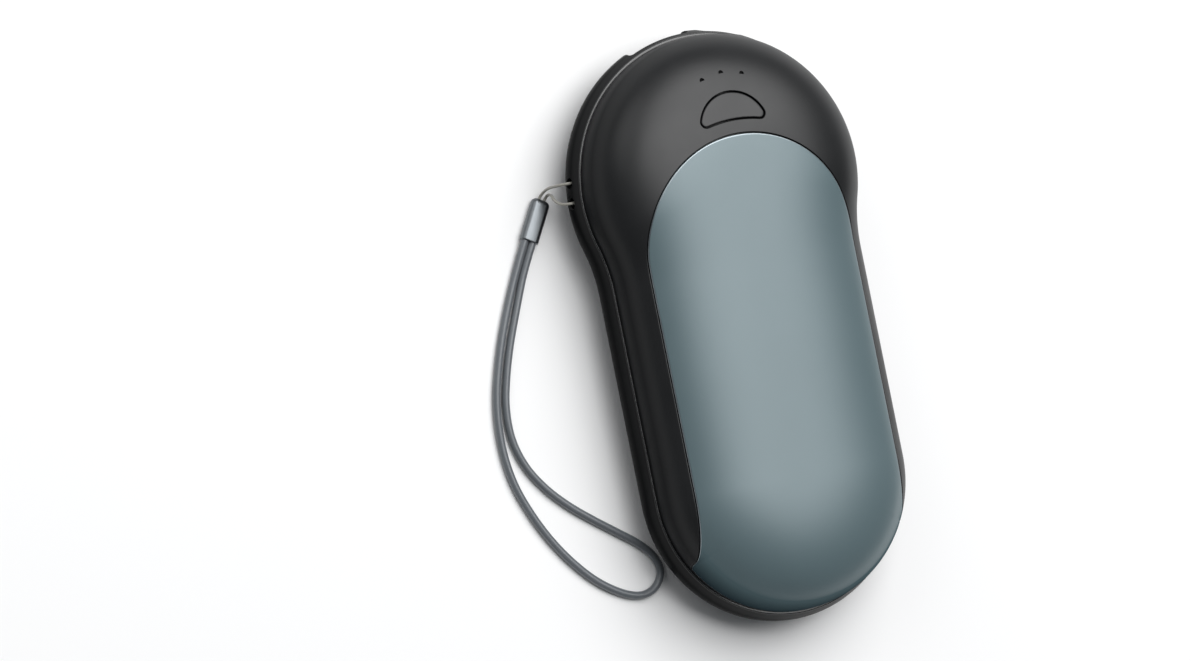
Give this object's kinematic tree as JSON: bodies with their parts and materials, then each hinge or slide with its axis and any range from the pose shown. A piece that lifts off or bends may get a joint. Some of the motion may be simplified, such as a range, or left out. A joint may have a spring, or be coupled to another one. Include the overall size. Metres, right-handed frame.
{
  "type": "rechargeable hand warmer",
  "caption": "Pocket hand warmer: round-lobed moulded body with metal heating plates, a crescent push button, charging sockets and a wrist cord.",
  "frame": {"origin": "centre of the body's box at the lowest point of its back, lying on its back; the wrist cord isn't counted", "axes": "+Z out of the front face, +Y along the body towards the button end, +X to the right as seen from the front"},
  "size_m": [0.0839, 0.1199, 0.0262],
  "materials": {
    "shell_plastic": "satin",
    "button_plastic": "satin",
    "plate_metal": "satin",
    "clear_plastic": "clear",
    "circuit_laminate": "solder mask",
    "black_plastic": "moulded",
    "white_plastic": "moulded",
    "led_lens": "clear",
    "plated_steel": "plated",
    "ferrite": "sintered",
    "cell_foil": "laminated foil",
    "heater_film": "polyimide film",
    "sensor_epoxy": "potted",
    "foam": "felted",
    "lead_insulation": "silicone",
    "string_fibre": "twisted",
    "crimp_metal": "satin",
    "cord_fibre": "braided"
  },
  "bodies": {
    "body": {"front_shell": "shell_plastic", "back_shell": "shell_plastic", "front_plate": "plate_metal", "back_plate": "plate_metal", "light_pipe": "clear_plastic", "circuit_board": "circuit_laminate", "switch_body": "black_plastic", "status_leds": "led_lens", "usb_a_shell": "plated_steel", "usb_a_tongue": "white_plastic", "usb_c_shell": "plated_steel", "usb_c_tongue": "black_plastic", "controller_chip": "black_plastic", "inductor": "ferrite", "battery_connector": "white_plastic", "battery_cell": "cell_foil", "protection_board": "circuit_laminate", "battery_tray": "white_plastic", "front_heater": "heater_film", "back_heater": "heater_film", "front_thermistor": "sensor_epoxy", "back_thermistor": "sensor_epoxy", "front_insulation": "foam", "back_insulation": "foam", "battery_leads": "lead_insulation", "front_heater_leads": "lead_insulation", "back_heater_leads": "lead_insulation", "case_screws": "plated_steel", "board_screws": "plated_steel", "lanyard_string": "string_fibre", "cord_crimp": "crimp_metal", "wrist_cord": "cord_fibre"},
    "push_button": {"button": "button_plastic"},
    "plunger": {"switch_plunger": "white_plastic"}
  },
  "joints": [
    {"name": "button_press", "type": "slide", "parent": "body", "child": "push_button", "axis": [0, 0, -1], "range_m": [0, 0.00035], "stiffness_N_per_m": 800},
    {"name": "plunger_press", "type": "slide", "parent": "body", "child": "plunger", "axis": [0, 0, -1], "range_m": [0, 0.00035]}
  ],
  "couplings": [
    {"joint": "plunger_press", "follows": "button_press", "ratio": 1}
  ]
}
